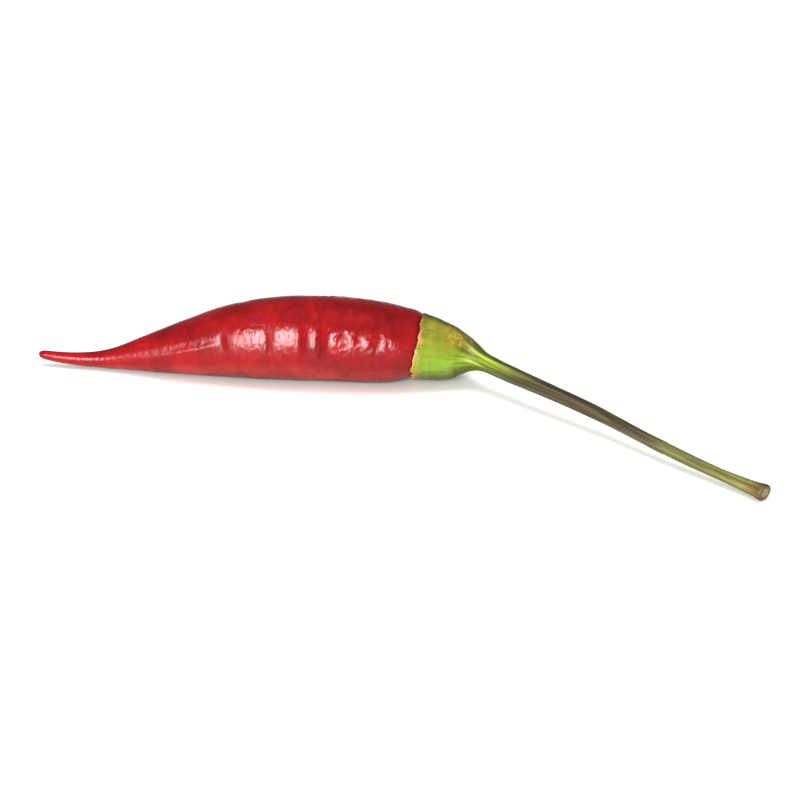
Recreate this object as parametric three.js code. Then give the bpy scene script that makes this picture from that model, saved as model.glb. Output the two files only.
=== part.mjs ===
// A bird's eye chilli lying on its side: a slim tapering pod, and a green cap that narrows into a long stalk.
// Millimetres, +Z up. The pod lies along X with its tip at -X, and the stalk swings out to +X and -Y.
import * as THREE from 'three';
import { mergeVertices } from 'three/addons/utils/BufferGeometryUtils.js';

// Driving dimensions
const podLength = 49.4; // from the cap's rim to the tip, along X
const podWidth = 11.1; // at its thickest, 12 mm from the rim
const bellyFlat = 0.15; // how much the pod's underside is pressed flat where it lies
const lobeCount = 3;
const lobeHeight = 0.09;
const capLength = 9; // from the rim to the neck where the stalk begins
const rimWidth = 9;
const rimWall = 0.5;
const seatGap = 0.3; // between the cap and the pod's shoulder inside it
const shoulderDepth = 4.6; // how far the pod's shoulder goes up into the cap
const toothCount = 5;
const toothLength = 0.5;
const neckWidth = 2.2;
const stalkWidth = 1.6; // at its thinnest, three quarters of the way along
const cutWidth = 2.5; // the flared end where the stalk was picked
const stalkRidges = 5;
const stalkTwist = 0.12; // radians in each millimetre of stalk

// How finely the skins are divided
const podSides = 36;
const capSides = 30;
const stepsPerSpan = 60;

// The line through the middle of the whole chilli, as [x, y, z] with x = 0 at the rim of the cap.
// Each height over the pod is its half width less the pressed flat, so that its underside lies on the surface.
const podLine = [
  [-podLength, 5.0, 1.45],
  [-46.0, 4.3, 1.2],
  [-41.0, 3.6, 1.35],
  [-35.0, 2.95, 2.48],
  [-29.5, 2.45, 3.62],
  [-23.7, 1.95, 4.72],
  [-18.0, 1.5, 5.27],
  [-12.0, 1.0, podWidth / 2 - bellyFlat],
  [-6.4, 0.53, 5.25],
  [-2.0, 0.17, 4.82],
];
const rimPoint = [0, 0, rimWidth / 2];
const stalkLine = [
  [2.4, -0.2, 4.48],
  [5.2, -0.6, 4.35],
  [6.65, -1.38, 4.15],
  [8.2, -2.6, 3.88],
  [11.0, -5.14, 3.5],
  [16.8, -10.9, 3.2],
  [22.6, -16.4, 2.75],
  [31.3, -25.6, 1.95],
  [38.0, -32.2, 1.4],
  [44.5, -38.4, 1.1],
];
const linePoints = [...podLine, rimPoint, ...stalkLine].map((p) => new THREE.Vector3(...p));
const midline = new THREE.CatmullRomCurve3(linePoints, false, 'centripetal');
midline.arcLengthDivisions = (linePoints.length - 1) * stepsPerSpan;

// Distances along the midline are measured from the rim: minus towards the tip, plus towards the stalk
const lineLength = midline.getLength();
const tipEnd = -midline.getLengths()[podLine.length * stepsPerSpan];
const stalkEnd = lineLength + tipEnd;

// The point at a distance along the midline, at an angle round it and a radius from it. No point goes under
// the surface that the chilli lies on, which leaves the flat underneath.
function skinPoint(along, angle, radius) {
  const share = THREE.MathUtils.clamp((along - tipEnd) / lineLength, 0, 1);
  const point = midline.getPointAt(share);
  const forward = midline.getTangentAt(share);
  const side = new THREE.Vector3().crossVectors(forward, new THREE.Vector3(0, 0, 1)).normalize();
  const top = new THREE.Vector3().crossVectors(side, forward);
  point.addScaledVector(side, Math.cos(angle) * radius);
  point.addScaledVector(top, Math.sin(angle) * radius);
  point.z = Math.max(point.z, 0);
  return point;
}

// A ring of skin points, where reach(angle) gives the distance along and the radius at each angle
function ringOf(sides, reach) {
  return Array.from({ length: sides }, (_, k) => {
    const angle = (k * 2 * Math.PI) / sides;
    const [along, radius] = reach(angle);
    return skinPoint(along, angle, radius);
  });
}

// A closed skin through rings of points, with one point closing each end
function closedSkin(firstPoint, rings, lastPoint) {
  const sides = rings[0].length;
  const positions = [firstPoint, ...rings.flat(), lastPoint].flatMap((p) => p.toArray());
  const last = 1 + rings.length * sides;
  const index = [];
  for (let k = 0; k < sides; k += 1) {
    const next = (k + 1) % sides;
    index.push(0, 1 + k, 1 + next);
    for (let ring = 0; ring < rings.length - 1; ring += 1) {
      const a = 1 + ring * sides + k;
      const b = 1 + ring * sides + next;
      index.push(a, a + sides, b, b, a + sides, b + sides);
    }
    index.push(last, last - sides + next, last - sides + k);
  }
  const geometry = new THREE.BufferGeometry();
  geometry.setAttribute('position', new THREE.Float32BufferAttribute(positions, 3));
  geometry.setIndex(index);
  return mergeVertices(geometry, 1e-5);
}

// Stations along an outline made of curves, each with its number of steps: x is the distance along, y the radius
function stationsOf(...pieces) {
  const points = pieces.flatMap(([curve, steps]) => curve.getSpacedPoints(steps));
  return points.filter((p, i) => i === 0 || p.distanceTo(points[i - 1]) > 1e-6);
}

function spline(points) {
  return new THREE.SplineCurve(points.map(([x, y]) => new THREE.Vector2(x, y)));
}

// A seeded random number from 0 to 1, so that every build draws the same shape
function seeded(seed) {
  let state = seed;
  return () => {
    state = (state * 16807) % 2147483647;
    return state / 2147483647;
  };
}
const draw = seeded(71);

// The teeth of the cap's rim: small points of uneven length that lie against the pod
const teeth = Array.from({ length: toothCount }, (_, i) => ({
  angle: ((i + 0.3 * (draw() - 0.5)) * 2 * Math.PI) / toothCount,
  length: toothLength * (0.55 + 0.6 * draw()),
}));
const toothStart = 0.72; // the cosine at which a tooth's foot begins

function toothReach(angle) {
  const reaches = teeth.map((tooth) => {
    const turn = Math.cos(angle - tooth.angle) - toothStart;
    return tooth.length * Math.max(0, turn / (1 - toothStart)) ** 1.4;
  });
  return Math.max(...reaches);
}

// The rim and the pod's edge beside it share this shift towards the tip, which fades out away from the rim
const rimFade = 3;
function rimShift(along, angle) {
  return -toothReach(angle) * Math.max(0, 1 - Math.abs(along) / rimFade);
}

// The pod's long soft lobes and slow dents, as a change of radius that shrinks with the pod
const dents = Array.from({ length: 5 }, () => ({
  height: 0.03 + 0.05 * draw(),
  perLength: 0.16 + 0.3 * draw(),
  round: 1 + Math.floor(3 * draw()),
  phase: 2 * Math.PI * draw(),
}));
const lobeTurn = 0.35;
const lobeTwist = 0.03; // radians in each millimetre of pod

function podRadius(along, angle, radius) {
  const lobes = lobeHeight * Math.cos(lobeCount * (angle - lobeTurn) + lobeTwist * along);
  const heights = dents.map(
    (d) => d.height * Math.sin(d.perLength * along + d.phase) * Math.cos(d.round * angle + d.phase),
  );
  const relief = heights.reduce((sum, height) => sum + height, lobes);
  return radius * (1 + relief / (podWidth / 2));
}

// The pod: a rounded tip, a long body, and a shoulder that steps in and closes under the cap
function makePod() {
  const tipRound = 1.3;
  const tipRadius = 0.62;
  const bodyStart = tipEnd + tipRound;
  const edgeRadius = rimWidth / 2 - 0.08;
  const shoulderRadius = rimWidth / 2 - rimWall - seatGap;
  const tip = new THREE.EllipseCurve(bodyStart, 0, tipRound, tipRadius, Math.PI, Math.PI / 2, true);
  const body = spline([
    [bodyStart, tipRadius],
    [-45.4, 0.82],
    [-41.0, 1.22],
    [-35.3, 2.46],
    [-29.5, 3.78],
    [-23.7, 4.87],
    [-18.0, 5.42],
    [-12.0, podWidth / 2],
    [-6.4, 5.4],
    [-2.6, 5.02],
    [-1.1, 4.76],
    [-seatGap, edgeRadius],
  ]);
  const shoulder = spline([
    [-seatGap, shoulderRadius],
    [1.0, 3.42],
    [2.5, 2.82],
    [3.7, 1.95],
    [4.35, 1.05],
    [shoulderDepth, 0],
  ]);
  const stations = stationsOf([tip, 5], [body, 52], [shoulder, 8]).slice(1, -1);
  const rings = stations.map(({ x: along, y: radius }) =>
    ringOf(podSides, (angle) => [along + rimShift(along, angle), podRadius(along, angle, radius)]),
  );
  const geometry = closedSkin(skinPoint(tipEnd, 0, 0), rings, skinPoint(shoulderDepth, 0, 0));
  const skin = new THREE.MeshStandardMaterial({ color: '#a5161f', roughness: 0.22, metalness: 0 });
  const pod = new THREE.Mesh(geometry, skin);
  pod.name = 'pod';
  return pod;
}

// Low ribs run from the teeth up the cap, and go over into the stalk's twisting ridges at the neck
const ribHeight = 0.05;
const ridgeHeight = 0.07;
function capRadius(along, angle, radius) {
  const { smoothstep } = THREE.MathUtils;
  const ribShare = smoothstep(along, 0.2, 2.5) * (1 - smoothstep(along, 6, capLength));
  const ribs = Math.max(...teeth.map((tooth) => Math.max(0, Math.cos(angle - tooth.angle)) ** 14));
  const ridgeShare = smoothstep(along, 5, capLength);
  const ridges = Math.cos(stalkRidges * (angle - teeth[0].angle) + stalkTwist * (along - capLength));
  return radius * (1 + ribHeight * ribShare * ribs + ridgeHeight * ridgeShare * ridges);
}

// The cap and its stalk grew as one piece: a shallow cup over the pod's shoulder, a neck, and a slim bent stalk
function makeCapAndStalk() {
  const cupDepth = shoulderDepth + seatGap;
  const cup = spline([
    [cupDepth, 0],
    [4.62, 1.2],
    [3.9, 2.2],
    [2.6, 3.14],
    [1.1, 3.74],
    [0, rimWidth / 2 - rimWall],
  ]);
  const cap = spline([
    [0, rimWidth / 2],
    [1.2, 4.3],
    [2.9, 3.8],
    [4.9, 2.98],
    [6.4, 2.15],
    [7.8, 1.45],
    [capLength, neckWidth / 2],
  ]);
  const stalk = spline([
    [capLength, neckWidth / 2],
    [14, 1.0],
    [22, 0.92],
    [32, 0.84],
    [40, stalkWidth / 2],
    [stalkEnd - 4.5, 0.84],
    [stalkEnd - 1.6, 1.08],
    [stalkEnd, cutWidth / 2],
  ]);
  const inside = stationsOf([cup, 7]).slice(1).map(({ x: along, y: radius }) =>
    ringOf(capSides, (angle) => [along + rimShift(along, angle), radius]),
  );
  const outside = stationsOf([cap, 16], [stalk, 44]).map(({ x: along, y: radius }) =>
    ringOf(capSides, (angle) => [along + rimShift(along, angle), capRadius(along, angle, radius)]),
  );
  const geometry = closedSkin(skinPoint(cupDepth, 0, 0), [...inside, ...outside], skinPoint(stalkEnd, 0, 0));
  const green = new THREE.MeshStandardMaterial({ color: '#8c9a34', roughness: 0.5, metalness: 0 });
  const capAndStalk = new THREE.Mesh(geometry, green);
  capAndStalk.name = 'cap_and_stalk';
  return capAndStalk;
}

const chilli = new THREE.Group();
chilli.add(makePod(), makeCapAndStalk());

// The origin is on the surface, under the middle of the chilli's box
const middle = new THREE.Box3().setFromObject(chilli).getCenter(new THREE.Vector3());
chilli.position.set(-middle.x, -middle.y, 0);

export default chilli;
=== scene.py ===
import math
from functools import partial

import bpy
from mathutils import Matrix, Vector
from mathutils.geometry import interpolate_bezier


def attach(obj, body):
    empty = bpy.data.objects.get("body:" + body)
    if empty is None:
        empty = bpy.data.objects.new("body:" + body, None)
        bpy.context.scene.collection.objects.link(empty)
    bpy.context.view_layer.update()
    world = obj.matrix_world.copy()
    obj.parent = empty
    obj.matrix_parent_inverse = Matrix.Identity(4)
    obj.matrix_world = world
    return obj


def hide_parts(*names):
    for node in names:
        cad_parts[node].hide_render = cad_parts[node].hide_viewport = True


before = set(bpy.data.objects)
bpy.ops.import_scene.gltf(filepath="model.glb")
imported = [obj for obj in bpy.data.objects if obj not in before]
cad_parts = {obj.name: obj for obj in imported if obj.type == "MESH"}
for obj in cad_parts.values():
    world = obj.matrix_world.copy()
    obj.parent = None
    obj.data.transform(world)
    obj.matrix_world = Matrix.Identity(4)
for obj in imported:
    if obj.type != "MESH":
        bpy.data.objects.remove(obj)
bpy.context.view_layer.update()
scene = bpy.context.scene
print("frame loaded:", sorted(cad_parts))

# The trees below work in millimetres, and their last step scales to metres.
millimetre = 0.001
smooth = {"interpolation_type": "SMOOTHSTEP"}  # makes a Map Range ease in and out


def linear(hexColour):
    # an sRGB hex value as the linear colour that a shader takes
    parts = [int(hexColour[i:i + 2], 16) / 255 for i in (1, 3, 5)]
    return [p / 12.92 if p <= 0.04045 else ((p + 0.055) / 1.055) ** 2.4 for p in parts] + [1.0]


def addNode(tree, kind, inputs=(), **settings):
    # inputs is a list in socket order, or a dictionary by socket name or number. A node means its output 0.
    node = tree.nodes.new(kind)
    for name, value in settings.items():
        if name == "stops":  # a colour ramp's places and hex colours
            ramp = node.color_ramp
            while len(ramp.elements) < len(value):
                ramp.elements.new(1.0)
            for element, (at, hexColour) in zip(ramp.elements, value):
                element.position, element.color = at, linear(hexColour)
        else:
            setattr(node, name, value)
    pairs = inputs.items() if isinstance(inputs, dict) else enumerate(inputs)
    for key, value in pairs:
        if value is None:
            continue
        if isinstance(value, bpy.types.Node):
            value = value.outputs[0]
        if isinstance(value, bpy.types.NodeSocket):
            tree.links.new(value, node.inputs[key])
        else:
            node.inputs[key].default_value = value
    return node


def newTree(name, inputs, outputs):
    # a Geometry Nodes tree with named inputs, each with its socket type and default. It is returned with the
    # function that adds its nodes, and with the sockets that they read from and write to.
    tree = bpy.data.node_groups.new(name, "GeometryNodeTree")
    for label, (kind, value) in inputs.items():
        socket = tree.interface.new_socket(label, in_out="INPUT", socket_type="NodeSocket" + kind)
        if value is not None:
            socket.default_value = value
    for label, kind in outputs.items():
        tree.interface.new_socket(label, in_out="OUTPUT", socket_type="NodeSocket" + kind)
    add = partial(addNode, tree)
    return tree, add, add("NodeGroupInput").outputs, add("NodeGroupOutput").inputs


def facingShare(add, angle, at):
    # 1 where the angle round the chilli is the one given, down to -1 across from it
    turned = add("ShaderNodeMath", [angle, at], operation="SUBTRACT")
    return add("ShaderNodeMath", [turned], operation="COSINE")


def bellShare(add, off, halfWidth, across=None):
    # 1 in the middle of a bell, fading over its half width. The bell can narrow across as well, by a square.
    share = add("ShaderNodeMath", [off, halfWidth], operation="DIVIDE")
    square = add("ShaderNodeMath", [share, share], operation="MULTIPLY")
    if across is not None:
        square = add("ShaderNodeMath", [square, across], operation="ADD")
    fall = add("ShaderNodeMath", [square, -1.0], operation="MULTIPLY")
    return add("ShaderNodeMath", [fall], operation="EXPONENT")


def zoneShare(add, value, *ranges, **settings):
    # the product of ranges, each given as from, to, share before and share after
    first, *others = [add("ShaderNodeMapRange", [value, *limits], **settings) for limits in ranges]
    for other in others:
        first = add("ShaderNodeMath", [first, other], operation="MULTIPLY")
    return first


def unevenness(add, place, scale, detail, roughness=0.5, stretch=None):
    # how far a noise is from its mean, with its place stretched first where a stretch is given
    if stretch:
        place = add("ShaderNodeVectorMath", [place, stretch], operation="MULTIPLY")
    noise = add("ShaderNodeTexNoise", {
        "Vector": place, "Scale": scale, "Detail": detail, "Roughness": roughness,
    })
    return add("ShaderNodeMath", [noise, 0.5], operation="SUBTRACT")


def drawCurve(name, points):
    # a smooth curve through points given in millimetres
    data = bpy.data.curves.new(name, "CURVE")
    data.dimensions = "3D"
    data.resolution_u = 48
    spline = data.splines.new("BEZIER")
    spline.bezier_points.add(len(points) - 1)
    for knot, point in zip(spline.bezier_points, points):
        knot.co = Vector(point).to_3d()
        knot.handle_left_type = knot.handle_right_type = "AUTO"
    curve = bpy.data.objects.new(name, data)
    scene.collection.objects.link(curve)
    bpy.context.view_layer.update()
    return curve


def growPiece(name, tree, values):
    # runs a tree on an empty mesh and keeps the result as a plain mesh
    piece = bpy.data.objects.new(name, bpy.data.meshes.new(name))
    scene.collection.objects.link(piece)
    grower = piece.modifiers.new(name, "NODES")
    grower.node_group = tree
    for item in tree.interface.items_tree:
        if item.in_out == "INPUT" and item.name in values:
            grower[item.identifier] = values[item.name]
    evaluated = piece.evaluated_get(bpy.context.evaluated_depsgraph_get())
    grown = bpy.data.meshes.new_from_object(evaluated)
    piece.modifiers.remove(grower)
    piece.data = grown
    grown.name = name
    if grown.materials[0] is None:  # the empty slot that the starting mesh leaves
        grown.materials.pop(index=0)
    print(name, "has", sum(len(p.vertices) - 2 for p in grown.polygons), "triangles")
    return piece


# The line through the middle of the chilli, from the tip over the rim of the cap to the stalk's cut end.
# Each point is in millimetres from rimPlace, which is on the surface right under the middle of the rim.
chilli = {
    "rimPlace": (2.02, 16.22, 0.0),
    "podLine": [
        (-49.4, 5.0, 1.45), (-46.0, 4.3, 1.2), (-41.0, 3.6, 1.35), (-35.0, 2.95, 2.48), (-29.5, 2.45, 3.62),
        (-23.7, 1.95, 4.72), (-18.0, 1.5, 5.27), (-12.0, 1.0, 5.4), (-6.4, 0.53, 5.25), (-2.0, 0.17, 4.82),
    ],
    "rimPoint": (0.0, 0.0, 4.5),
    "stalkLine": [
        (2.4, -0.26, 4.48), (5.2, -0.88, 4.35), (6.65, -1.5, 4.15), (8.2, -2.62, 3.88), (11.0, -5.14, 3.5),
        (16.8, -10.9, 3.2), (22.6, -16.4, 2.75), (31.3, -25.6, 1.95), (38.0, -32.2, 1.4), (44.5, -38.4, 1.1),
    ],
    "rimRadius": 4.5,
    "toothCount": 5,
    "toothWander": 0.3,  # of the way from one to the next
    "toothLength": 0.5,
    "toothLengthSpread": (0.55, 0.6),  # the least share of that length, and how much is left to chance
    "toothFoot": 0.72,  # the cosine at which a tooth starts: less is broader
    "toothSharpness": 1.4,
    "toothSeed": 71,
    "scallopSize": 1.0,  # finer points between the teeth
    "scallopReach": 1.5,
    "scallopMean": 0.45,  # of the noise that draws them: more sets the rim back
    "rimSetBack": 0.2,
    "rimTopSetBack": 0.75,  # the rim sits further up the cap on top
    "rimFade": 3.0,  # how far from the rim its teeth are still felt
    # where the underside is drawn in or fuller: along, half length, share of the half width
    "undersides": [(-0.3, 2.2, -0.12), (6.3, 2.6, 0.26)],
    # by how far the skin faces up, from -1 to 1: from, to, share before, share after
    "undersideRange": (-0.85, 0.2, 1.0, 0.0),
}


def drawMidline():
    points = chilli["podLine"] + [chilli["rimPoint"]] + chilli["stalkLine"]
    midline = drawCurve("midline", [Vector(p) + Vector(chilli["rimPlace"]) for p in points])
    knots = midline.data.splines[0].bezier_points
    lengths = []
    for a, b in zip(knots[:-1], knots[1:]):
        run = interpolate_bezier(a.co, a.handle_right, b.handle_left, b.co, midline.data.resolution_u + 1)
        lengths.append(sum((q - p).length for p, q in zip(run[:-1], run[1:])))
    tipToRim = sum(lengths[:len(chilli["podLine"])])
    return midline, tipToRim, sum(lengths) - tipToRim


midline, tipToRim, rimToCut = drawMidline()
print(f"midline: {tipToRim:.1f} mm from tip to rim, {rimToCut:.1f} mm from rim to cut")


def drawTeeth():
    # small points round the cap's rim, uneven in place and length, by a seeded rule
    factor, limit = 16807, 2147483647
    least, chance = chilli["toothLengthSpread"]
    state = chilli["toothSeed"]
    teeth = []
    for i in range(chilli["toothCount"]):
        state = state * factor % limit
        angle = (i + chilli["toothWander"] * (state / limit - 0.5)) * 2 * math.pi / chilli["toothCount"]
        state = state * factor % limit
        teeth.append((angle, chilli["toothLength"] * (least + chance * state / limit)))
    return teeth


teeth = drawTeeth()


def makeRimShift():
    # how far the rim and the pod's edge beside it reach towards the tip at an angle, fading away from the rim
    tree, add, given, result = newTree("Rim Teeth", {
        "Along": ("Float", 0.0), "Angle": ("Float", 0.0),
    }, {"Shift": "Float"})
    reach = 0.0
    for angle, length in teeth:
        facing = facingShare(add, given["Angle"], angle)
        foot = add("ShaderNodeMapRange", [facing, chilli["toothFoot"], 1.0, 0.0, 1.0])
        shaped = add("ShaderNodeMath", [foot, chilli["toothSharpness"]], operation="POWER")
        long = add("ShaderNodeMath", [shaped, length], operation="MULTIPLY")
        reach = add("ShaderNodeMath", [reach, long], operation="MAXIMUM")
    cosine = add("ShaderNodeMath", [given["Angle"]], operation="COSINE")
    sine = add("ShaderNodeMath", [given["Angle"]], operation="SINE")
    scallop = add("ShaderNodeTexNoise", {
        "Vector": add("ShaderNodeCombineXYZ", [0.0, cosine, sine]),
        "Scale": chilli["rimRadius"] / chilli["scallopSize"], "Detail": 3.0,
    })
    scallopEven = add("ShaderNodeMath", [scallop, chilli["scallopMean"]], operation="SUBTRACT")
    reach = add("ShaderNodeMath", [scallopEven, chilli["scallopReach"], reach], operation="MULTIPLY_ADD")

    # set back all round, and most on top
    upper = add("ShaderNodeMath", [sine, 0.0], operation="MAXIMUM")
    upperSquare = add("ShaderNodeMath", [upper, upper], operation="MULTIPLY")
    setBack = add("ShaderNodeMath", [
        upperSquare, chilli["rimTopSetBack"], chilli["rimSetBack"],
    ], operation="MULTIPLY_ADD")
    reach = add("ShaderNodeMath", [reach, setBack], operation="SUBTRACT")
    away = add("ShaderNodeMath", [given["Along"]], operation="ABSOLUTE")
    fade = add("ShaderNodeMapRange", [away, 0.0, chilli["rimFade"], -1.0, 0.0])
    shift = add("ShaderNodeMath", [reach, fade], operation="MULTIPLY")
    tree.links.new(shift.outputs[0], result["Shift"])
    return tree


def makeSweep():
    # a grid of rings, whose outline is a profile curve (x along, y radius) that is carried along the midline
    tree, add, given, result = newTree("Sweep Along Midline", {
        "Midline": ("Object", None), "Profile": ("Object", None), "Tip To Rim": ("Float", tipToRim),
        "Rings": ("Int", 200), "Sides": ("Int", 100),
    }, {
        "Grid": "Geometry", "Along": "Float", "Radius": "Float", "Angle": "Float", "Cosine": "Float",
        "Sine": "Float", "Place": "Vector", "Outward": "Vector", "Straight": "Vector",
    })
    columns = add("ShaderNodeMath", [given["Sides"], 1.0], operation="ADD")
    grid = add("GeometryNodeMeshGrid", {
        "Size X": 1.0, "Size Y": 1.0, "Vertices X": given["Rings"], "Vertices Y": columns,
    })
    spot = add("ShaderNodeSeparateXYZ", [add("GeometryNodeInputPosition")])
    share = add("ShaderNodeMath", [spot.outputs["X"], 0.5], operation="ADD")
    turn = add("ShaderNodeMath", [spot.outputs["Y"], 0.5], operation="ADD")
    angle = add("ShaderNodeMath", [turn, 2 * math.pi], operation="MULTIPLY")
    cosine = add("ShaderNodeMath", [angle], operation="COSINE")
    sine = add("ShaderNodeMath", [angle], operation="SINE")

    # the outline, shifted at the rim
    outline = add("GeometryNodeObjectInfo", {"Object": given["Profile"]})
    outlineAt = add("GeometryNodeSampleCurve", {
        "Curves": outline.outputs["Geometry"], "Factor": share,
    }, mode="FACTOR")
    drawn = add("ShaderNodeSeparateXYZ", [outlineAt.outputs["Position"]])
    along, radius = drawn.outputs["X"], drawn.outputs["Y"]
    shift = add("GeometryNodeGroup", {"Along": along, "Angle": angle}, node_tree=makeRimShift())
    shifted = add("ShaderNodeMath", [along, shift], operation="ADD")
    fromTip = add("ShaderNodeMath", [shifted, given["Tip To Rim"]], operation="ADD")

    # the midline there, and the way out from it at each angle
    middle = add("GeometryNodeObjectInfo", {"Object": given["Midline"]})
    middleAt = add("GeometryNodeSampleCurve", {
        "Curves": middle.outputs["Geometry"], "Length": fromTip,
    }, mode="LENGTH")
    forward = middleAt.outputs["Tangent"]
    sideways = add("ShaderNodeVectorMath", [forward, (0, 0, 1)], operation="CROSS_PRODUCT")
    side = add("ShaderNodeVectorMath", [sideways], operation="NORMALIZE")
    top = add("ShaderNodeVectorMath", [side, forward], operation="CROSS_PRODUCT")
    sidePart = add("ShaderNodeVectorMath", {0: side, "Scale": cosine}, operation="SCALE")
    topPart = add("ShaderNodeVectorMath", {0: top, "Scale": sine}, operation="SCALE")
    outward = add("ShaderNodeVectorMath", [sidePart, topPart], operation="ADD")

    # the rim is drawn in underneath, and the cap hangs fuller before its neck
    below = add("ShaderNodeMapRange", [sine, *chilli["undersideRange"]], **smooth)
    fullness = 1.0
    for at, halfLength, change in chilli["undersides"]:
        off = add("ShaderNodeMath", [along, at], operation="SUBTRACT")
        bell = bellShare(add, off, halfLength)
        bellBelow = add("ShaderNodeMath", [bell, below], operation="MULTIPLY")
        fullness = add("ShaderNodeMath", [bellBelow, change, fullness], operation="MULTIPLY_ADD")
    halfWidth = add("ShaderNodeMath", [radius, fullness], operation="MULTIPLY")
    reach = add("ShaderNodeVectorMath", {0: outward, "Scale": halfWidth}, operation="SCALE")
    place = add("ShaderNodeVectorMath", [middleAt.outputs["Position"], reach], operation="ADD")

    # each point's place if the midline were straight, which the patterns follow
    sideReach = add("ShaderNodeMath", [cosine, radius], operation="MULTIPLY")
    topReach = add("ShaderNodeMath", [sine, radius], operation="MULTIPLY")
    straight = add("ShaderNodeCombineXYZ", [along, sideReach, topReach])
    for label, socket in {
        "Grid": grid.outputs["Mesh"], "Along": along, "Radius": radius, "Angle": angle.outputs[0],
        "Cosine": cosine.outputs[0], "Sine": sine.outputs[0], "Place": place.outputs[0],
        "Outward": outward.outputs[0], "Straight": straight.outputs[0],
    }.items():
        tree.links.new(socket, result[label])
    return tree


sweepTree = makeSweep()
print("sweep tree ready")


def startPieceTree(name, values, labels, others):
    # what both pieces' trees start with: the sweep, and an input for each size, named as in the dictionary
    sizes = {label: ("Float", values[label[0].lower() + label[1:].replace(" ", "")]) for label in labels}
    tree, add, given, result = newTree(name, {
        "Midline": ("Object", None), "Profile": ("Object", None), "Tip To Rim": ("Float", tipToRim),
        "Rings": ("Int", values["rings"]), "Sides": ("Int", values["sides"]), **sizes,
        "Material": ("Material", None), **others,
    }, {"Geometry": "Geometry"})
    passed = ("Midline", "Profile", "Tip To Rim", "Rings", "Sides")
    sweep = add("GeometryNodeGroup", {p: given[p] for p in passed}, node_tree=sweepTree)
    return tree, add, given, result, sweep.outputs


def settleSkin(add, sweep, rise, marks, slide=None):
    # pushes the skin out by its relief, rests it on the surface it lies on, keeps what its material reads,
    # and closes its seam and poles
    push = add("ShaderNodeVectorMath", {0: sweep["Outward"], "Scale": rise}, operation="SCALE")
    pushed = add("ShaderNodeVectorMath", [sweep["Place"], push], operation="ADD")
    if slide is not None:
        pushed = add("ShaderNodeVectorMath", [pushed, slide], operation="ADD")
    spot = add("ShaderNodeSeparateXYZ", [pushed])
    lifted = add("ShaderNodeMath", [spot.outputs["Z"], 0.0], operation="MAXIMUM")
    rested = add("ShaderNodeCombineXYZ", [spot.outputs["X"], spot.outputs["Y"], lifted])
    inMetres = add("ShaderNodeVectorMath", {0: rested, "Scale": millimetre}, operation="SCALE")
    marked = add("GeometryNodeStoreNamedAttribute", {
        "Geometry": sweep["Grid"], "Name": "straight", "Value": sweep["Straight"],
    }, data_type="FLOAT_VECTOR", domain="POINT")
    for name, value in marks.items():
        marked = add("GeometryNodeStoreNamedAttribute", {
            "Geometry": marked, "Name": name, "Value": value,
        }, data_type="FLOAT", domain="POINT")
    shaped = add("GeometryNodeSetPosition", {"Geometry": marked, "Position": inMetres})
    closed = add("GeometryNodeMergeByDistance", {"Geometry": shaped, "Distance": 0.001 * millimetre})
    return add("GeometryNodeSetShadeSmooth", {"Geometry": closed})


def newMaterial(name):
    # an empty material, and the function that adds its nodes
    made = bpy.data.materials.new(name)
    made.use_nodes = True
    made.node_tree.nodes.clear()
    return made, partial(addNode, made.node_tree)


def readPlace(add):
    # millimetres along the midline and out from it, as if it were straight, from the skin's own attribute
    place = add("ShaderNodeAttribute", attribute_name="straight").outputs["Vector"]
    parts = add("ShaderNodeSeparateXYZ", [place])
    out = add("ShaderNodeCombineXYZ", [0.0, parts.outputs["Y"], parts.outputs["Z"]])
    return place, parts.outputs["X"], out


def layColours(add, colour, layers):
    # lays colours over the first one, each by its share. A Mix node's colour sockets are 6, 7 and output 2.
    for share, tone in layers:
        tone = linear(tone) if isinstance(tone, str) else tone
        colour = add("ShaderNodeMix", {0: share, 6: colour, 7: tone}, data_type="RGBA").outputs[2]
    return colour


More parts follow.
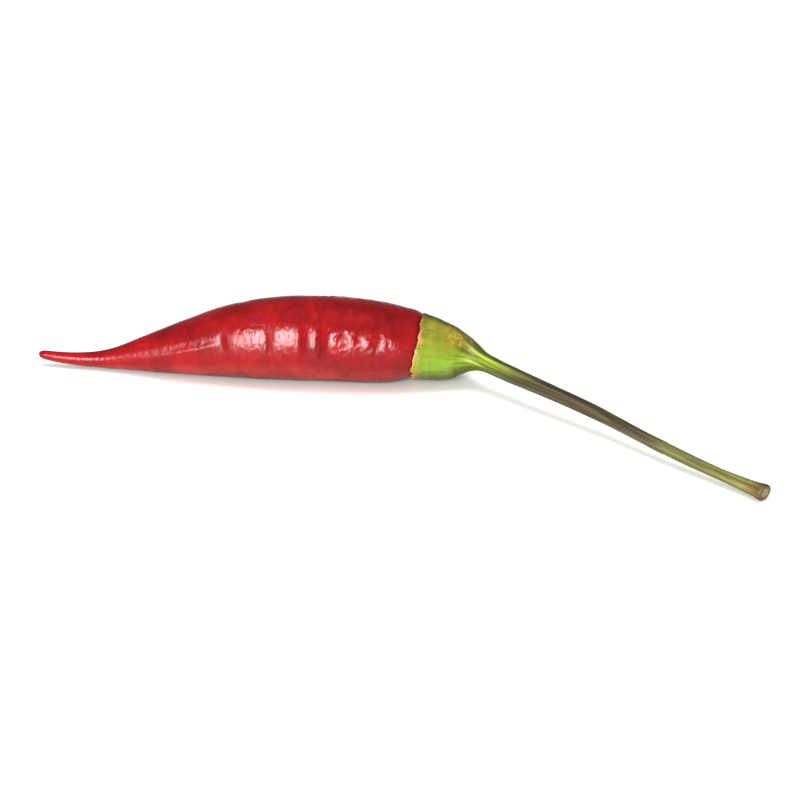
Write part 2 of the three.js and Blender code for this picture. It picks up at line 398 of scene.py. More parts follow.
# Ripe red pod. Lengths in millimetres and angles in degrees, where 0 faces the stalk's side and 90 is up.
pod = {
    "rings": 480,
    "sides": 195,
    "tipProfile": [(0.0, 0.0), (0.1, 0.28), (0.45, 0.5), (1.3, 0.62)],  # from the tip
    "profile": [
        (-45.4, 0.82), (-41.0, 1.22), (-35.3, 2.46), (-29.5, 3.78), (-23.7, 4.87), (-18.0, 5.42),
        (-12.0, 5.55), (-6.4, 5.4), (-2.6, 5.02), (-1.1, 4.76), (-0.5, 4.58), (-0.15, 4.38),
        (0.3, 4.06), (1.1, 3.55), (2.6, 2.8), (3.8, 1.7), (4.5, 0.0),
    ],
    "halfWidth": 5.55,
    "lobeCount": 3,
    "lobeHeight": 0.09,
    "lobeTurn": 20,
    "lobeTwist": 0.03,  # radians in each millimetre
    "swellSize": 7.0,
    "swellHeight": 0.16,
    "rippleSize": 4.6,  # slow ripples across the pod
    "rippleHeight": 0.1,
    "crinkleSize": 1.25,  # the cells of the crinkled skin
    "crinkleDepth": 0.046,
    "crinkleBend": 1.6,  # how far a noise bends them
    "patchSize": 5.0,  # where crinkles come and go
    # the crinkles' share, each as from, to, share before, share after: by the patches' noise, along the pod,
    # and by how far the skin faces up, from -1 to 1
    "crinklePatches": (0.35, 0.65, 0.35, 1.15),
    "crinkleNearCap": (-15.0, -11.0, 1.0, 2.1),
    "crinkleUnder": (-0.8, -0.3, 0.12, 1.0),
    "crinkleTop": (0.55, 0.9, 1.0, 0.6),
    "reliefEnd": (-2.4, -0.4, 1.0, 0.0),  # all relief ends before the cap
    # pinched dents: along, angle, half length, half span, depth, which is minus for a bulge
    "pinches": [
        (-24.7, 22, 0.7, 34, 0.2), (-18.9, 20, 0.42, 34, 0.17), (-14.5, 20, 0.6, 36, 0.24),
        (-12.3, 22, 0.45, 34, 0.2), (-11.6, 22, 0.45, 34, 0.2), (-9.3, 20, 0.5, 22, 0.12),
        (-7.3, 28, 0.5, 24, 0.12), (-5.0, 22, 0.6, 26, 0.12), (-2.4, 24, 1.1, 16, -0.2),
        (-15.5, 160, 0.9, 30, 0.1), (-7.0, 205, 0.8, 26, 0.08), (-22.5, 120, 1.0, 24, 0.08),
    ],
    # long soft folds: from along and angle, to along and angle, half width, height, minus for a hollow
    "folds": [
        (-37.0, 4, -25.6, 19, 0.45, 0.2), (-28.0, 19, -12.0, 17, 2.3, -0.27),
        (-30.0, 62, -19.0, 50, 0.7, 0.07), (-28.0, 190, -16.0, 170, 0.7, 0.08),
        (-12.0, 118, -3.0, 128, 0.6, 0.05),
    ],
    "reds": [(0.34, "#680c11"), (0.5, "#7b1216"), (0.66, "#8d191c")],
    # painted shade: a darker red in the creases and in a ring against the cap
    "creaseShadeRed": "#6d070d",
    "ringShadeRed": "#6f0a10",
    # a painted reflection of the pale floor low on the sides, then painted shade on the belly
    "floorReflection": "#a2625a",
    "bellyShadeRed": "#42100f",
    "poreRed": "#c0413c",
    "roughness": (0.2, 0.3),
    "dentDullness": 0.34,  # added to the roughness
}


def makePodTree():
    tree, add, given, result, sweep = startPieceTree("Chilli Pod", pod, (
        "Half Width", "Lobe Count", "Lobe Height", "Swell Size", "Swell Height", "Ripple Size",
        "Ripple Height", "Crinkle Size", "Crinkle Depth", "Patch Size",
    ), {})
    along, radius, angle, straight = (sweep[label] for label in ("Along", "Radius", "Angle", "Straight"))

    # three soft lobes that turn a little on their way to the tip
    phase = add("ShaderNodeMath", [angle, math.radians(pod["lobeTurn"])], operation="SUBTRACT")
    turns = add("ShaderNodeMath", [phase, given["Lobe Count"]], operation="MULTIPLY")
    turned = add("ShaderNodeMath", [along, pod["lobeTwist"], turns], operation="MULTIPLY_ADD")
    lobe = add("ShaderNodeMath", [turned], operation="COSINE")
    relief = add("ShaderNodeMath", [lobe, given["Lobe Height"]], operation="MULTIPLY")

    # slow swells of the flesh, and ripples that vary faster along the pod than round it
    for name, *settings in (("Swell", 1.0, 0.4, None), ("Ripple", 2.0, 0.5, (1.0, 0.45, 0.45))):
        scale = add("ShaderNodeMath", [1.0, given[name + " Size"]], operation="DIVIDE")
        wave = unevenness(add, straight, scale, *settings)
        relief = add("ShaderNodeMath", [wave, given[name + " Height"], relief], operation="MULTIPLY_ADD")

    # crinkled skin: small domed cells with creases between them, bent by a noise and longer round the pod
    noise = add("ShaderNodeTexNoise", {"Vector": straight, "Scale": 0.55, "Detail": 1.0})
    noise = noise.outputs["Color"]
    even = add("ShaderNodeVectorMath", [noise, (0.5, 0.5, 0.5)], operation="SUBTRACT")
    bend = add("ShaderNodeVectorMath", {0: even, "Scale": pod["crinkleBend"]}, operation="SCALE")
    bent = add("ShaderNodeVectorMath", [straight, bend], operation="ADD")
    longer = add("ShaderNodeVectorMath", [bent, (1.15, 0.85, 0.85)], operation="MULTIPLY")
    scale = add("ShaderNodeMath", [1.0, given["Crinkle Size"]], operation="DIVIDE")
    cells = add("ShaderNodeTexVoronoi", {"Vector": longer, "Scale": scale}, feature="DISTANCE_TO_EDGE")
    dome = add("ShaderNodeMapRange", [cells, 0.0, 0.42, -1.0, 0.0], **smooth)

    # they come and go in patches, are deepest near the cap, and fade on top and underneath
    patchPer = add("ShaderNodeMath", [1.0, given["Patch Size"]], operation="DIVIDE")
    patch = add("ShaderNodeTexNoise", {"Vector": straight, "Scale": patchPer, "Detail": 1.0})
    patchUneven = add("ShaderNodeMapRange", [patch, *pod["crinklePatches"]])
    nearCap = add("ShaderNodeMapRange", [along, *pod["crinkleNearCap"]], **smooth)
    underOrTop = zoneShare(add, sweep["Sine"], pod["crinkleUnder"], pod["crinkleTop"], **smooth)
    crinkleHere = add("ShaderNodeMath", [nearCap, underOrTop], operation="MULTIPLY")
    patchShare = add("ShaderNodeMath", [patchUneven, crinkleHere], operation="MULTIPLY")
    domeRise = add("ShaderNodeMath", [dome, patchShare], operation="MULTIPLY")
    relief = add("ShaderNodeMath", [domeRise, given["Crinkle Depth"], relief], operation="MULTIPLY_ADD")

    # pinched dents: a bell along the pod times a bell round it
    pinched = 0.0
    for at, turn, halfLength, halfSpan, depth in pod["pinches"]:
        off = add("ShaderNodeMath", [along, at], operation="SUBTRACT")
        facing = facingShare(add, angle, math.radians(turn))
        span = 2 / math.radians(halfSpan) ** 2
        around = add("ShaderNodeMath", [facing, -span, span], operation="MULTIPLY_ADD")
        bell = bellShare(add, off, halfLength, around)
        relief = add("ShaderNodeMath", [bell, -depth, relief], operation="MULTIPLY_ADD")
        pinched = add("ShaderNodeMath", [bell, max(depth, 0.0), pinched], operation="MULTIPLY_ADD")

    # long folds: a low ridge or hollow about a slanted line on the skin
    for fromAlong, fromAngle, toAlong, toAngle, halfWidth, height in pod["folds"]:
        line = add("ShaderNodeMapRange", [
            along, fromAlong, toAlong, math.radians(fromAngle), math.radians(toAngle),
        ])
        turned = add("ShaderNodeMath", [angle, line], operation="SUBTRACT")
        sideways = add("ShaderNodeMath", [turned], operation="SINE")
        gap = add("ShaderNodeMath", [sideways, radius], operation="MULTIPLY")
        half = (toAlong - fromAlong) / 2
        off = add("ShaderNodeMath", [along, fromAlong + half], operation="SUBTRACT")
        offShare = add("ShaderNodeMath", [off, half], operation="DIVIDE")
        offFourth = add("ShaderNodeMath", [offShare, 4.0], operation="POWER")
        bell = bellShare(add, gap, halfWidth, offFourth)
        facing = facingShare(add, angle, line)
        front = add("ShaderNodeMath", [facing, 0.0], operation="MAXIMUM")
        ridge = add("ShaderNodeMath", [bell, front], operation="MULTIPLY")
        relief = add("ShaderNodeMath", [ridge, height, relief], operation="MULTIPLY_ADD")

    # the relief shrinks with the pod's width, and ends before the cap
    share = add("ShaderNodeMath", [radius, given["Half Width"]], operation="DIVIDE")
    clear = add("ShaderNodeMapRange", [along, *pod["reliefEnd"]], **smooth)
    shareClear = add("ShaderNodeMath", [share, clear], operation="MULTIPLY")
    rise = add("ShaderNodeMath", [relief, shareClear], operation="MULTIPLY")
    settled = settleSkin(add, sweep, rise, {"relief": domeRise, "pinched": pinched})
    dressed = add("GeometryNodeSetMaterial", {"Geometry": settled, "Material": given["Material"]})
    tree.links.new(dressed.outputs[0], result["Geometry"])
    return tree


def makePodSkin():
    # Ripe chilli: a smooth waxy cuticle over red flesh, so the colour is deep and the gloss sharp but broken
    skin, add = newMaterial("waxyChilliSkin")
    place, along, out = readPlace(add)
    relief = add("ShaderNodeAttribute", attribute_name="relief").outputs["Fac"]
    pinched = add("ShaderNodeAttribute", attribute_name="pinched").outputs["Fac"]
    facing = add("ShaderNodeVectorMath", [out], operation="NORMALIZE")
    upward = add("ShaderNodeSeparateXYZ", [facing]).outputs["Z"]

    # patches of brighter and darker red, 5 mm across, and mottles, 0.8 mm along the pod and 1.7 mm round it
    patches = add("ShaderNodeTexNoise", {"Vector": place, "Scale": 1 / 5, "Detail": 2.0})
    mottlePlace = add("ShaderNodeVectorMath", [place, (1.25, 0.6, 0.6)], operation="MULTIPLY")
    mottles = add("ShaderNodeTexNoise", {
        "Vector": mottlePlace, "Scale": 1.0, "Detail": 4.0, "Roughness": 0.6,
    })
    tone = add("ShaderNodeMix", [0.35, None, patches, mottles])
    red = add("ShaderNodeValToRGB", [tone], stops=pod["reds"])

    # painted shade: darker in the creases of the crinkled skin, and in a ring against the cap
    creaseShade = add("ShaderNodeMapRange", [relief, -1.0, -0.45, 0.16, 0.0])
    ring = add("ShaderNodeMapRange", [along, -1.8, -0.3, 0.0, 0.5], **smooth)

    # a painted reflection of the pale floor low on the sides, uneven in patches, and painted shade on the
    # belly
    floorReflectionBand = zoneShare(add, upward, (-0.6, -0.2, 0.2, 0.0), (-0.9, -0.7, 0.0, 1.0), **smooth)
    floorReflectionUneven = add("ShaderNodeMapRange", [patches, 0.35, 0.65, 0.6, 1.2])
    floorReflection = add("ShaderNodeMath", [floorReflectionBand, floorReflectionUneven], operation="MULTIPLY")
    bellyShade = add("ShaderNodeMapRange", [upward, -0.92, -0.76, 0.7, 0.0], **smooth)

    # pale pores, 0.2 mm across and a millimetre apart
    pores = add("ShaderNodeTexVoronoi", {"Vector": place, "Scale": 1.0})
    pore = add("ShaderNodeMapRange", [pores.outputs["Distance"], 0.05, 0.12, 0.2, 0.0])
    colour = layColours(add, red, [
        (creaseShade, pod["creaseShadeRed"]), (ring, pod["ringShadeRed"]), (floorReflection, pod["floorReflection"]), (bellyShade, pod["bellyShadeRed"]),
        (pore, pod["poreRed"]),
    ])

    # the wax is a little duller in patches 2 mm across, most of all in the pinched dents
    wax = add("ShaderNodeTexNoise", {"Vector": place, "Scale": 1 / 2.2, "Detail": 3.0})
    waxRough = add("ShaderNodeMapRange", [wax, 0.3, 0.7, *pod["roughness"]])
    dull = add("ShaderNodeMapRange", [pinched, 0.07, 0.2, 0.0, pod["dentDullness"]], **smooth)
    roughness = add("ShaderNodeMath", [waxRough, dull], operation="ADD")
    gloss = add("ShaderNodeMapRange", [pinched, 0.07, 0.2, 0.5, 0.12], **smooth)

    # fine grain of the skin, 0.7 mm, too low to model
    finePlace = add("ShaderNodeVectorMath", [place, (1.3, 0.75, 0.75)], operation="MULTIPLY")
    fine = add("ShaderNodeTexNoise", {
        "Vector": finePlace, "Scale": 1 / 0.7, "Detail": 3.0, "Roughness": 0.55,
    })
    bump = add("ShaderNodeBump", {"Strength": 0.6, "Distance": 0.12 * millimetre, "Height": fine})
    shade = add("ShaderNodeBsdfPrincipled", {
        "Base Color": colour, "Roughness": roughness, "IOR": 1.46, "Specular IOR Level": gloss,
        "Normal": bump, "Subsurface Weight": 0.1, "Subsurface Radius": (1.0, 0.2, 0.12),
        "Subsurface Scale": millimetre,
    })
    add("ShaderNodeOutputMaterial", {"Surface": shade})
    return skin


def makePod():
    tip = [(-tipToRim + at, halfWidth) for at, halfWidth in pod["tipProfile"]]
    profile = drawCurve("podProfile", tip + pod["profile"])
    piece = growPiece("chilliPod", makePodTree(), {
        "Midline": midline, "Profile": profile, "Material": makePodSkin(),
    })
    bpy.data.objects.remove(profile)
    return piece


podPiece = makePod()

# The green cap and its stalk, one piece as they grew. Lengths in millimetres from the rim, and half widths.
cap = {
    "rings": 640,
    "sides": 130,
    "cupProfile": [(5.0, 0.0), (4.7, 1.2), (3.95, 2.2), (2.6, 3.1), (1.1, 3.76), (0.35, 4.16)],
    "rimProfile": [(-0.08, 4.45), (-0.16, 4.54), (0.0, 4.62), (0.4, 4.55)],
    "capProfile": [(1.2, 4.33), (2.9, 3.8), (4.9, 2.98), (6.4, 2.15), (7.8, 1.45), (9.0, 1.1)],
    "stalkProfile": [
        (11.2, 1.0), (14.0, 0.97), (22.0, 0.89), (28.0, 0.85), (33.0, 0.76), (38.0, 0.73), (42.0, 0.76),
    ],
    "endProfile": [  # the flare and the cut, from the stalk's end
        (-4.5, 0.82), (-1.6, 0.98), (-0.45, 1.14), (-0.12, 1.09), (0.02, 0.9), (0.03, 0.6), (0.03, 0.0),
    ],
    "outsideFrom": (-0.375, -0.36),  # where the rings come out of the cup, as a share of them less a half
    "neck": 9.0,
    "ribHeight": 0.14,
    "ribSharpness": 22.0,
    # the next ranges are along the piece: from, to, share before, share after
    "ribStart": (-0.3, 1.5, 0.0, 1.0),
    "ribEnd": (5.5, 9.0, 1.0, 0.0),
    "ridgeCount": 5,
    "ridgeShare": 0.08,  # of the stalk's half width
    "ridgeNeck": (10.0, 20.0, 1.7, 1.0),  # taller at the neck
    "ridgeEnd": (-3.0, 0.0, 1.0, 0.35),  # lower at the cut, and measured from it
    "twist": 0.12,  # radians in each millimetre
    "veinHeight": 0.06,
    "fibreHeight": 0.07,
    "swellHeight": 0.12,
    "peelAlong": 42.2,  # where the dark outer skin ends in a torn edge
    "peelWander": 3.0,  # how far that edge wanders along the stalk
    "peelStep": 0.05,
    "cutSlant": 0.22,
    "cutReach": 1.2,  # how much of the stalk's end it takes up
    # the cap's greens from below to above, the lowest dull olive being painted shade of its underside, and
    # the stalk's tones from the neck to the peel and on to the cut
    "capGreensShadedBelow": [
        (0.08, "#5c5f36"), (0.2, "#66733a"), (0.36, "#6b8625"), (0.5, "#708627"), (0.66, "#797d2a"),
        (0.82, "#77722b"), (1.0, "#665e27"),
    ],
    "stalkTones": [
        (0.0, "#8aa634"), (0.17, "#869b3b"), (0.25, "#626139"), (0.33, "#4b4436"), (0.5, "#473e34"),
        (0.6, "#5f5745"),
    ],
    "peelTones": ("#696249", "#6c6f49"),  # before and past the torn edge
    "endTones": [(0.88, "#74724a"), (0.94, "#807a4b"), (0.975, "#76623c"), (1.0, "#5d4e34")],
    # painted shade, as dark lines along the top edge and under the neck: 1 or -1 for which, where they start,
    # and where they fade
    "shadeLines": [(1.0, (-2.0, -1.0), (12.0, 22.0)), (-1.0, (5.5, 8.5), (14.0, 24.0))],
    # painted shade for the dark lines along the top and under the neck
    "shadeLineTone": "#443c1e",
    # painted shade in the furrows, and a painted highlight on the ridges
    "furrowShadeTone": "#3f3a20",
    "ridgeHighlightTones": ("#a5aa55", "#8f8b70"),  # fresh, and dried along the stalk
    "fibreTone": "#55561f",
    "stripeTones": ("#474c1d", "#3b362a"),
    "scarTone": "#a58437",
    "rimTone": "#b0825a",
    "pithTones": [(0.3, "#82775a"), (0.7, "#8d8265"), (1.0, "#6c5e43")],
}


def makeCapTree():
    tree, add, given, result, sweep = startPieceTree("Cap And Stalk", cap, (
        "Rib Height", "Ridge Count", "Ridge Share", "Twist", "Vein Height", "Fibre Height", "Swell Height",
        "Peel Step", "Cut Slant",
    ), {"Cut End": ("Float", rimToCut), "Cut Material": ("Material", None)})
    along, radius, angle, straight = (sweep[label] for label in ("Along", "Radius", "Angle", "Straight"))
    # follows the direction of growth
    spread = add("ShaderNodeCombineXYZ", [along, sweep["Cosine"], sweep["Sine"]])

    # low ribs from each tooth of the rim to the neck
    rib = 0.0
    for toothAngle, _ in teeth:
        facing = facingShare(add, angle, toothAngle)
        front = add("ShaderNodeMath", [facing, 0.0], operation="MAXIMUM")
        narrow = add("ShaderNodeMath", [front, cap["ribSharpness"]], operation="POWER")
        rib = add("ShaderNodeMath", [rib, narrow], operation="MAXIMUM")
    ribShare = zoneShare(add, along, cap["ribStart"], cap["ribEnd"], **smooth)
    ribRise = add("ShaderNodeMath", [rib, ribShare], operation="MULTIPLY")
    relief = add("ShaderNodeMath", [ribRise, given["Rib Height"]], operation="MULTIPLY")

    # fine veins that fan out from the neck over the cap, soft swells of the cap, and fibres along the stalk
    veinShare = add("ShaderNodeMapRange", [along, cap["neck"], cap["neck"] + 5, 1.0, 0.3], **smooth)
    capShare = add("ShaderNodeMath", [radius, chilli["rimRadius"]], operation="DIVIDE")
    stalkShare = add("ShaderNodeMapRange", [along, 5.0, cap["neck"], 0.0, 1.0], **smooth)
    for name, noise, share in (
        ("Vein", unevenness(add, spread, 1.0, 2.0, 0.55, (0.22, 5.5, 5.5)), veinShare),
        ("Swell", unevenness(add, straight, 0.4, 2.0), capShare),
        ("Fibre", unevenness(add, spread, 1.0, 3.0, 0.6, (0.16, 3.4, 3.4)), stalkShare),
    ):
        wave = add("ShaderNodeMath", [noise, share], operation="MULTIPLY")
        relief = add("ShaderNodeMath", [wave, given[name + " Height"], relief], operation="MULTIPLY_ADD")

    # the stalk's twisting ridges, tallest at the neck
    fromNeck = add("ShaderNodeMath", [along, cap["neck"]], operation="SUBTRACT")
    ridgeAngle = add("ShaderNodeMath", [angle, given["Ridge Count"]], operation="MULTIPLY")
    ridgeTurned = add("ShaderNodeMath", [fromNeck, given["Twist"], ridgeAngle], operation="MULTIPLY_ADD")
    ridgeWave = add("ShaderNodeMath", [ridgeTurned], operation="COSINE")
    fromHere, toHere, *shares = cap["ridgeEnd"]
    ridgeEnd = add("ShaderNodeMapRange", [along, rimToCut + fromHere, rimToCut + toHere, *shares], **smooth)
    ridgeSpan = add("ShaderNodeMath", [stalkShare, ridgeEnd], operation="MULTIPLY")
    ridgeRise = add("ShaderNodeMath", [ridgeWave, ridgeSpan], operation="MULTIPLY")
    neckShare = add("ShaderNodeMapRange", [along, *cap["ridgeNeck"]], **smooth)
    ridgeTall = add("ShaderNodeMath", [neckShare, given["Ridge Share"]], operation="MULTIPLY")
    ridgeReach = add("ShaderNodeMath", [radius, ridgeTall], operation="MULTIPLY")
    relief = add("ShaderNodeMath", [ridgeRise, ridgeReach, relief], operation="MULTIPLY_ADD")

    # the dark outer skin is a little proud, up to a torn edge
    torn = add("ShaderNodeTexNoise", {"Vector": straight, "Scale": 0.9, "Detail": 2.0})
    tornAlong = add("ShaderNodeMath", [torn, cap["peelWander"], along], operation="MULTIPLY_ADD")
    edge = cap["peelAlong"] + cap["peelWander"] / 2
    peeled = add("ShaderNodeMapRange", [tornAlong, edge - 0.1, edge + 0.1, 1.0, 0.0])
    peelRise = add("ShaderNodeMath", [peeled, stalkShare], operation="MULTIPLY")
    relief = add("ShaderNodeMath", [peelRise, given["Peel Step"], relief], operation="MULTIPLY_ADD")

    # the inside of the cup and the cut face stay plain
    ring = add("ShaderNodeSeparateXYZ", [add("GeometryNodeInputPosition")]).outputs["X"]
    outside = add("ShaderNodeMapRange", [ring, *cap["outsideFrom"], 0.0, 1.0], **smooth)
    offMiddle = add("ShaderNodeMapRange", [radius, 0.1, 0.6, 0.0, 1.0], **smooth)
    outsideShare = add("ShaderNodeMath", [outside, offMiddle], operation="MULTIPLY")
    rise = add("ShaderNodeMath", [relief, outsideShare], operation="MULTIPLY")

    # the stalk was cut at a slant, so its end slides along the way that it heads
    heading = (Vector(chilli["stalkLine"][-1]) - Vector(chilli["stalkLine"][-2])).normalized()
    cutStart = add("ShaderNodeMath", [given["Cut End"], cap["cutReach"]], operation="SUBTRACT")
    nearCut = add("ShaderNodeMapRange", [along, cutStart, given["Cut End"], 0.0, 1.0])
    topReach = add("ShaderNodeSeparateXYZ", [straight]).outputs["Z"]
    slant = add("ShaderNodeMath", [topReach, given["Cut Slant"]], operation="MULTIPLY")
    slantReach = add("ShaderNodeMath", [slant, nearCut], operation="MULTIPLY")
    slide = add("ShaderNodeVectorMath", {0: tuple(heading), "Scale": slantReach}, operation="SCALE")

    settled = settleSkin(add, sweep, rise, {"relief": relief}, slide)
    green = add("GeometryNodeSetMaterial", {"Geometry": settled, "Material": given["Material"]})
    kept = add("GeometryNodeInputNamedAttribute", {"Name": "straight"}, data_type="FLOAT_VECTOR")
    keptAlong = add("ShaderNodeSeparateXYZ", [kept])
    onCut = add("FunctionNodeCompare", [keptAlong, given["Cut End"]], operation="GREATER_THAN")
    dressed = add("GeometryNodeSetMaterial", {
        "Geometry": green, "Selection": onCut, "Material": given["Cut Material"],
    })
    tree.links.new(dressed.outputs[0], result["Geometry"])
    return tree


def makeGreenSkin():
    # Fresh green tissue of the cap, which dries to olive and brown along the stalk: satin, with fine fibres
    skin, add = newMaterial("greenCapAndStalkSkin")
    place, along, out = readPlace(add)
    relief = add("ShaderNodeAttribute", attribute_name="relief").outputs["Fac"]
    facing = add("ShaderNodeVectorMath", [out], operation="NORMALIZE")
    facingParts = add("ShaderNodeSeparateXYZ", [facing])
    upward = facingParts.outputs["Z"]

    # two noises: fibres, stretched along the growth, and blotches about 1.3 mm across
    spread = add("ShaderNodeCombineXYZ", [along, facingParts.outputs["Y"], upward])
    fibrePlace = add("ShaderNodeVectorMath", [spread, (0.16, 7.0, 7.0)], operation="MULTIPLY")
    fibres = add("ShaderNodeTexNoise", {"Vector": fibrePlace, "Scale": 1.0, "Detail": 4.0, "Roughness": 0.65})
    blotches = add("ShaderNodeTexNoise", {"Vector": place, "Scale": 1 / 1.3, "Detail": 5.0, "Roughness": 0.7})
    blotchEven = add("ShaderNodeMath", [blotches, 0.5], operation="SUBTRACT")

    # the cap by how far it faces up: a dull dark olive underneath as painted shade, fresh green low down and
    # yellow green above, each with a little of the other
    capTone = add("ShaderNodeMath", [blotchEven, 1.9, upward], operation="MULTIPLY_ADD")
    capShare = add("ShaderNodeMapRange", [capTone, -1.0, 1.3, 0.0, 1.0])
    capGreenShadedBelow = add("ShaderNodeValToRGB", [capShare], stops=cap["capGreensShadedBelow"])

    # the stalk: fresh at the neck, then olive brown, and paler past the torn edge of its skin
    torn = add("ShaderNodeTexNoise", {"Vector": place, "Scale": 0.9, "Detail": 3.0})
    tornAlong = add("ShaderNodeMath", [torn, cap["peelWander"], along], operation="MULTIPLY_ADD")
    tornEven = add("ShaderNodeMath", [tornAlong, cap["peelWander"] / 2], operation="SUBTRACT")
    stalkShare = add("ShaderNodeMath", [tornEven, rimToCut], operation="DIVIDE")
    edge = cap["peelAlong"] / rimToCut
    edgeTones = [(edge - 0.004, cap["peelTones"][0]), (edge + 0.004, cap["peelTones"][1])]
    tones = cap["stalkTones"] + edgeTones + cap["endTones"]
    stalkTone = add("ShaderNodeValToRGB", [stalkShare], stops=tones)
    toStalk = add("ShaderNodeMapRange", [along, 6.0, 10.5, 0.0, 1.0], **smooth)
    layers = [(toStalk, stalkTone)]

    # painted shade: a dark line along the top edge, turned a little to the back, and one under the neck,
    # turned to the front
    backward = add("ShaderNodeMath", [facingParts.outputs["Y"], -0.34], operation="MULTIPLY")
    topLine = add("ShaderNodeMath", [upward, 0.94, backward], operation="MULTIPLY_ADD")
    topUneven = add("ShaderNodeMath", [blotchEven, 0.25, topLine], operation="MULTIPLY_ADD")
    for side, start, fade in cap["shadeLines"]:
        line = add("ShaderNodeMath", [topUneven, side], operation="MULTIPLY")
        lineShare = add("ShaderNodeMapRange", [line, 0.88, 0.99, 0.0, 0.75])
        lineZone = zoneShare(add, along, (*start, 0.0, 1.0), (*fade, 1.0, 0.3))
        shadeLineHere = add("ShaderNodeMath", [lineShare, lineZone], operation="MULTIPLY")
        layers.append((shadeLineHere, cap["shadeLineTone"]))

    # painted shade darkens the furrows and a painted highlight lightens the ridges; the fibres are darker in
    # their own colour
    furrowShade = add("ShaderNodeMapRange", [relief, -0.1, 0.02, 0.5, 0.0])
    ridgeHighlight = add("ShaderNodeMapRange", [relief, 0.04, 0.16, 0.0, 0.2])
    dried = add("ShaderNodeMapRange", [along, 10.0, 17.0, 0.0, 1.0], **smooth)
    ridgeHighlightTone = layColours(add, linear(cap["ridgeHighlightTones"][0]), [(dried, cap["ridgeHighlightTones"][1])])
    nearNeck = add("ShaderNodeMapRange", [along, 3.0, 8.0, 0.4, 0.7], **smooth)
    fibreDark = add("ShaderNodeMapRange", [fibres, 0.48, 0.66, 0.0, 1.0])
    fibre = add("ShaderNodeMath", [fibreDark, nearNeck], operation="MULTIPLY")
    layers += [(furrowShade, cap["furrowShadeTone"]), (ridgeHighlight, ridgeHighlightTone), (fibre, cap["fibreTone"])]

    # broad stripes of the neck and stalk, about 0.7 mm apart
    stripePlace = add("ShaderNodeVectorMath", [spread, (0.1, 3.0, 3.0)], operation="MULTIPLY")
    stripes = add("ShaderNodeTexNoise", {"Vector": stripePlace, "Scale": 1.0, "Detail": 2.0})
    stripeDark = add("ShaderNodeMapRange", [stripes, 0.46, 0.54, 0.0, 0.8])
    stripeZone = zoneShare(add, along, (4.0, 8.0, 0.0, 1.0), (39.0, 44.0, 1.0, 0.5), **smooth)
    stripe = add("ShaderNodeMath", [stripeDark, stripeZone], operation="MULTIPLY")
    stripeTone = layColours(add, linear(cap["stripeTones"][0]), [(dried, cap["stripeTones"][1])])
    layers.append((stripe, stripeTone))

    # ochre scars where the cap narrows, on its upper side: curly lines, where a noise is near its mean
    scarBand = zoneShare(add, along, (2.8, 5.0, 0.0, 1.0), (6.4, 9.0, 1.0, 0.0), **smooth)
    scarUp = add("ShaderNodeMapRange", [upward, 0.1, 0.75, 0.0, 1.0])
    scarZone = add("ShaderNodeMath", [scarBand, scarUp], operation="MULTIPLY")
    scarOff = add("ShaderNodeMath", [unevenness(add, place, 1 / 1.4, 2.0)], operation="ABSOLUTE")
    scarLines = add("ShaderNodeMapRange", [scarOff, 0.008, 0.034, 0.65, 0.0])
    scar = add("ShaderNodeMath", [scarZone, scarLines], operation="MULTIPLY")

    # the rim dries to tan in places
    rimNoise = add("ShaderNodeMath", [blotchEven, 4.5, along], operation="MULTIPLY_ADD")
    rim = add("ShaderNodeMapRange", [rimNoise, -0.3, 0.7, 0.85, 0.0])
    colour = layColours(add, capGreenShadedBelow, layers + [(scar, cap["scarTone"]), (rim, cap["rimTone"])])

    bump = add("ShaderNodeBump", {"Strength": 0.5, "Distance": 0.06 * millimetre, "Height": fibres})
    roughness = add("ShaderNodeMapRange", [blotches, 0.3, 0.7, 0.36, 0.52])
    shade = add("ShaderNodeBsdfPrincipled", {
        "Base Color": colour, "Roughness": roughness, "IOR": 1.42, "Normal": bump,
        "Subsurface Weight": 0.1, "Subsurface Radius": (0.6, 1.0, 0.2), "Subsurface Scale": 0.6 * millimetre,
    })
    add("ShaderNodeOutputMaterial", {"Surface": shade})
    return skin


def makeCutPith():
    # The cut end of the stalk: dry fibrous pith, matt and pale brown, with a darker ring of bark. The fibres
    # are 0.25 mm across.
    pith, add = newMaterial("driedStalkPith")
    place, _, out = readPlace(add)
    reach = add("ShaderNodeVectorMath", [out], operation="LENGTH").outputs["Value"]
    grain = add("ShaderNodeTexNoise", {"Vector": place, "Scale": 1 / 0.25, "Detail": 3.0})
    mixed = add("ShaderNodeMath", [grain, 0.5, reach], operation="MULTIPLY_ADD")
    tone = add("ShaderNodeValToRGB", [mixed], stops=cap["pithTones"])
    bump = add("ShaderNodeBump", {"Strength": 0.6, "Distance": 0.08 * millimetre, "Height": grain})
    shade = add("ShaderNodeBsdfPrincipled", {
        "Base Color": tone, "Roughness": 0.75, "IOR": 1.4, "Normal": bump,
    })
    add("ShaderNodeOutputMaterial", {"Surface": shade})
    return pith


def makeCap():
    end = [(rimToCut + at, halfWidth) for at, halfWidth in cap["endProfile"]]
    outline = cap["cupProfile"] + cap["rimProfile"] + cap["capProfile"] + cap["stalkProfile"] + end
    profile = drawCurve("capProfile", outline)
    piece = growPiece("chilliCapAndStalk", makeCapTree(), {
        "Midline": midline, "Profile": profile, "Material": makeGreenSkin(), "Cut Material": makeCutPith(),
    })
    bpy.data.objects.remove(profile)
    return piece


capPiece = makeCap()
bpy.data.objects.remove(midline)
for piece, node, slot in ((podPiece, "pod", "pod_skin"), (capPiece, "cap_and_stalk", "green_stalk")):
    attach(piece, "root")
    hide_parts(node)
print("pod, cap and stalk in place")

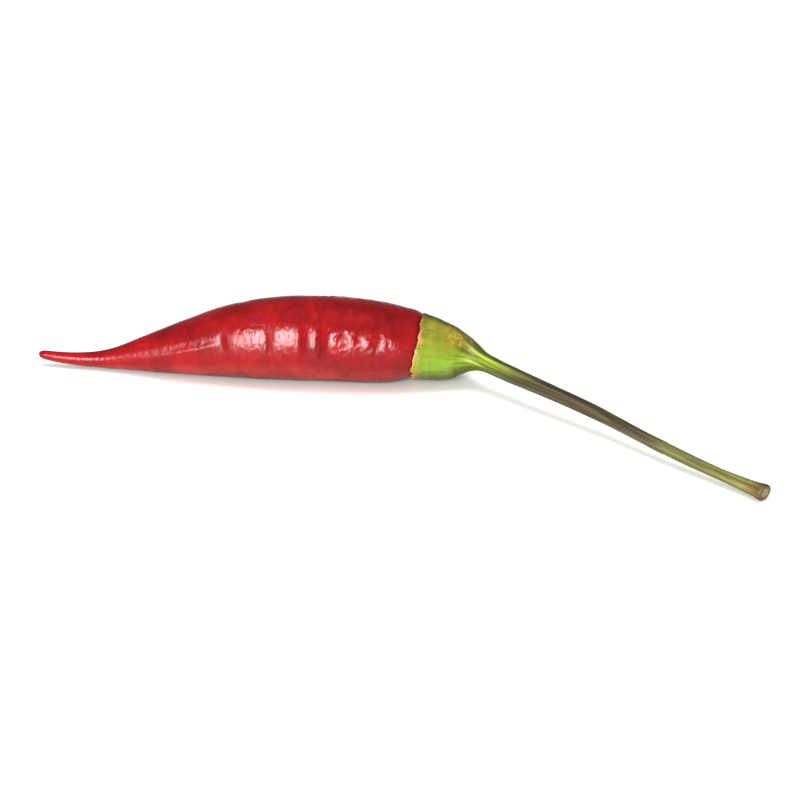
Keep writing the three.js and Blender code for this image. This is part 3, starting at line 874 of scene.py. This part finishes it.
studio = {
    "floorHalf": 4.0,  # metres
    "floorDrop": 0.02,  # millimetres under the chilli, so that no two faces share a plane
    "floorColour": "#e8e7e4",
    "skyColour": "#f3f5f8",
    "skyStrength": 0.46,
    "backStrength": 0.28,  # of the dimmer wall behind
    # soft lamps far away: name, strength, softness in degrees, turn about X, Y and Z in degrees
    "softLamps": [
        ("overhead", 1.15, 38, (-5, 0, 0)), ("left", 0.3, 80, (0, -55, 0)), ("right", 0.5, 80, (0, 55, 0)),
    ],
    # windows: name, place and size in metres, power in watts
    "windows": [
        ("window", (-0.27, -0.88, 0.27), (0.36, 0.64), 10.5),
        ("sideWindow", (-0.6, -0.7, 0.2), (0.34, 0.42), 1.9),
    ],
}


def makeFloor():
    half, level = studio["floorHalf"], -studio["floorDrop"] * millimetre
    corners = [(x * half, y * half, level) for x, y in ((-1, -1), (1, -1), (1, 1), (-1, 1))]
    sheet = bpy.data.meshes.new("floor")
    sheet.from_pydata(corners, [], [(0, 1, 2, 3)])
    floor = bpy.data.objects.new("floor", sheet)
    scene.collection.objects.link(floor)
    board, add = newMaterial("mattWhiteBoard")  # white painted board, evenly matt
    shade = add("ShaderNodeBsdfPrincipled", {
        "Base Color": linear(studio["floorColour"]), "Roughness": 0.6, "Specular IOR Level": 0.3,
    })
    add("ShaderNodeOutputMaterial", {"Surface": shade})
    sheet.materials.append(board)


def makeLights():
    sky = bpy.data.worlds.new("paleRoom")
    scene.world = sky
    sky.use_nodes = True
    sky.node_tree.nodes.clear()
    add = partial(addNode, sky.node_tree)
    direction = add("ShaderNodeTexCoord").outputs["Generated"]
    backward = add("ShaderNodeSeparateXYZ", [direction]).outputs["Y"]
    strength = add("ShaderNodeMapRange", [
        backward, -0.1, 0.6, studio["skyStrength"], studio["backStrength"],
    ], **smooth)
    glow = add("ShaderNodeBackground", [linear(studio["skyColour"]), strength])
    add("ShaderNodeOutputWorld", {"Surface": glow})
    lamps = []
    for name, strength, softness, angles in studio["softLamps"]:
        soft = bpy.data.lights.new(name, "SUN")
        soft.energy = strength
        soft.angle = math.radians(softness)
        lamp = bpy.data.objects.new(name, soft)
        lamp.rotation_euler = [math.radians(a) for a in angles]
        lamp.visible_glossy = False  # these only fill, and the gloss shows the windows
        lamps.append(lamp)
    for name, at, size, power in studio["windows"]:
        window = bpy.data.lights.new(name, "AREA")
        window.shape = "RECTANGLE"
        window.size, window.size_y = size
        window.energy = power
        lamp = bpy.data.objects.new(name, window)
        lamp.location = at
        lamp.rotation_euler = (-Vector(at)).to_track_quat("-Z", "Y").to_euler()
        lamps.append(lamp)
    for lamp in lamps:
        lamp.visible_camera = False
        scene.collection.objects.link(lamp)


# The view of the photograph, closer: the rim's middle stands at rimPixel of the 800 pixel picture, and the
# render shows the square of it that starts at (left, top) and is wide pixels across.
view = {
    "elevation": 24.0,
    "lens": 800.0,  # long, as the picture shows no foreshortening
    "pixelsPerMillimetre": 3.46,
    "rimPixel": (642.0, 536.5),
    "left": 454.0,
    "top": 380.0,
    "wide": 360.0,
    "exposure": 0.1,
}


def makeCamera():
    tilt = math.radians(view["elevation"])
    across = Vector((1, 0, 0))
    upright = Vector((0, math.sin(tilt), math.cos(tilt)))
    back = Vector((0, -math.cos(tilt), math.sin(tilt)))
    offRight = (view["left"] + view["wide"] / 2 - view["rimPixel"][0]) / view["pixelsPerMillimetre"]
    offDown = (view["top"] + view["wide"] / 2 - view["rimPixel"][1]) / view["pixelsPerMillimetre"]
    rim = Vector(chilli["rimPlace"]) + Vector(chilli["rimPoint"])
    target = (rim + across * offRight - upright * offDown) * millimetre
    lens = bpy.data.cameras.new("camera")
    lens.lens = view["lens"]
    lens.clip_start = 0.01
    wide = view["wide"] / view["pixelsPerMillimetre"] * millimetre
    distance = wide * view["lens"] / lens.sensor_width
    camera = bpy.data.objects.new("camera", lens)
    camera.location = target + back * distance
    camera.rotation_euler = (math.radians(90) - tilt, 0, 0)
    scene.collection.objects.link(camera)
    scene.camera = camera
    scene.view_settings.view_transform = "Standard"
    scene.view_settings.look = "High Contrast"
    scene.view_settings.exposure = view["exposure"]


makeFloor()
makeLights()
makeCamera()
print("floor, lights and camera ready")
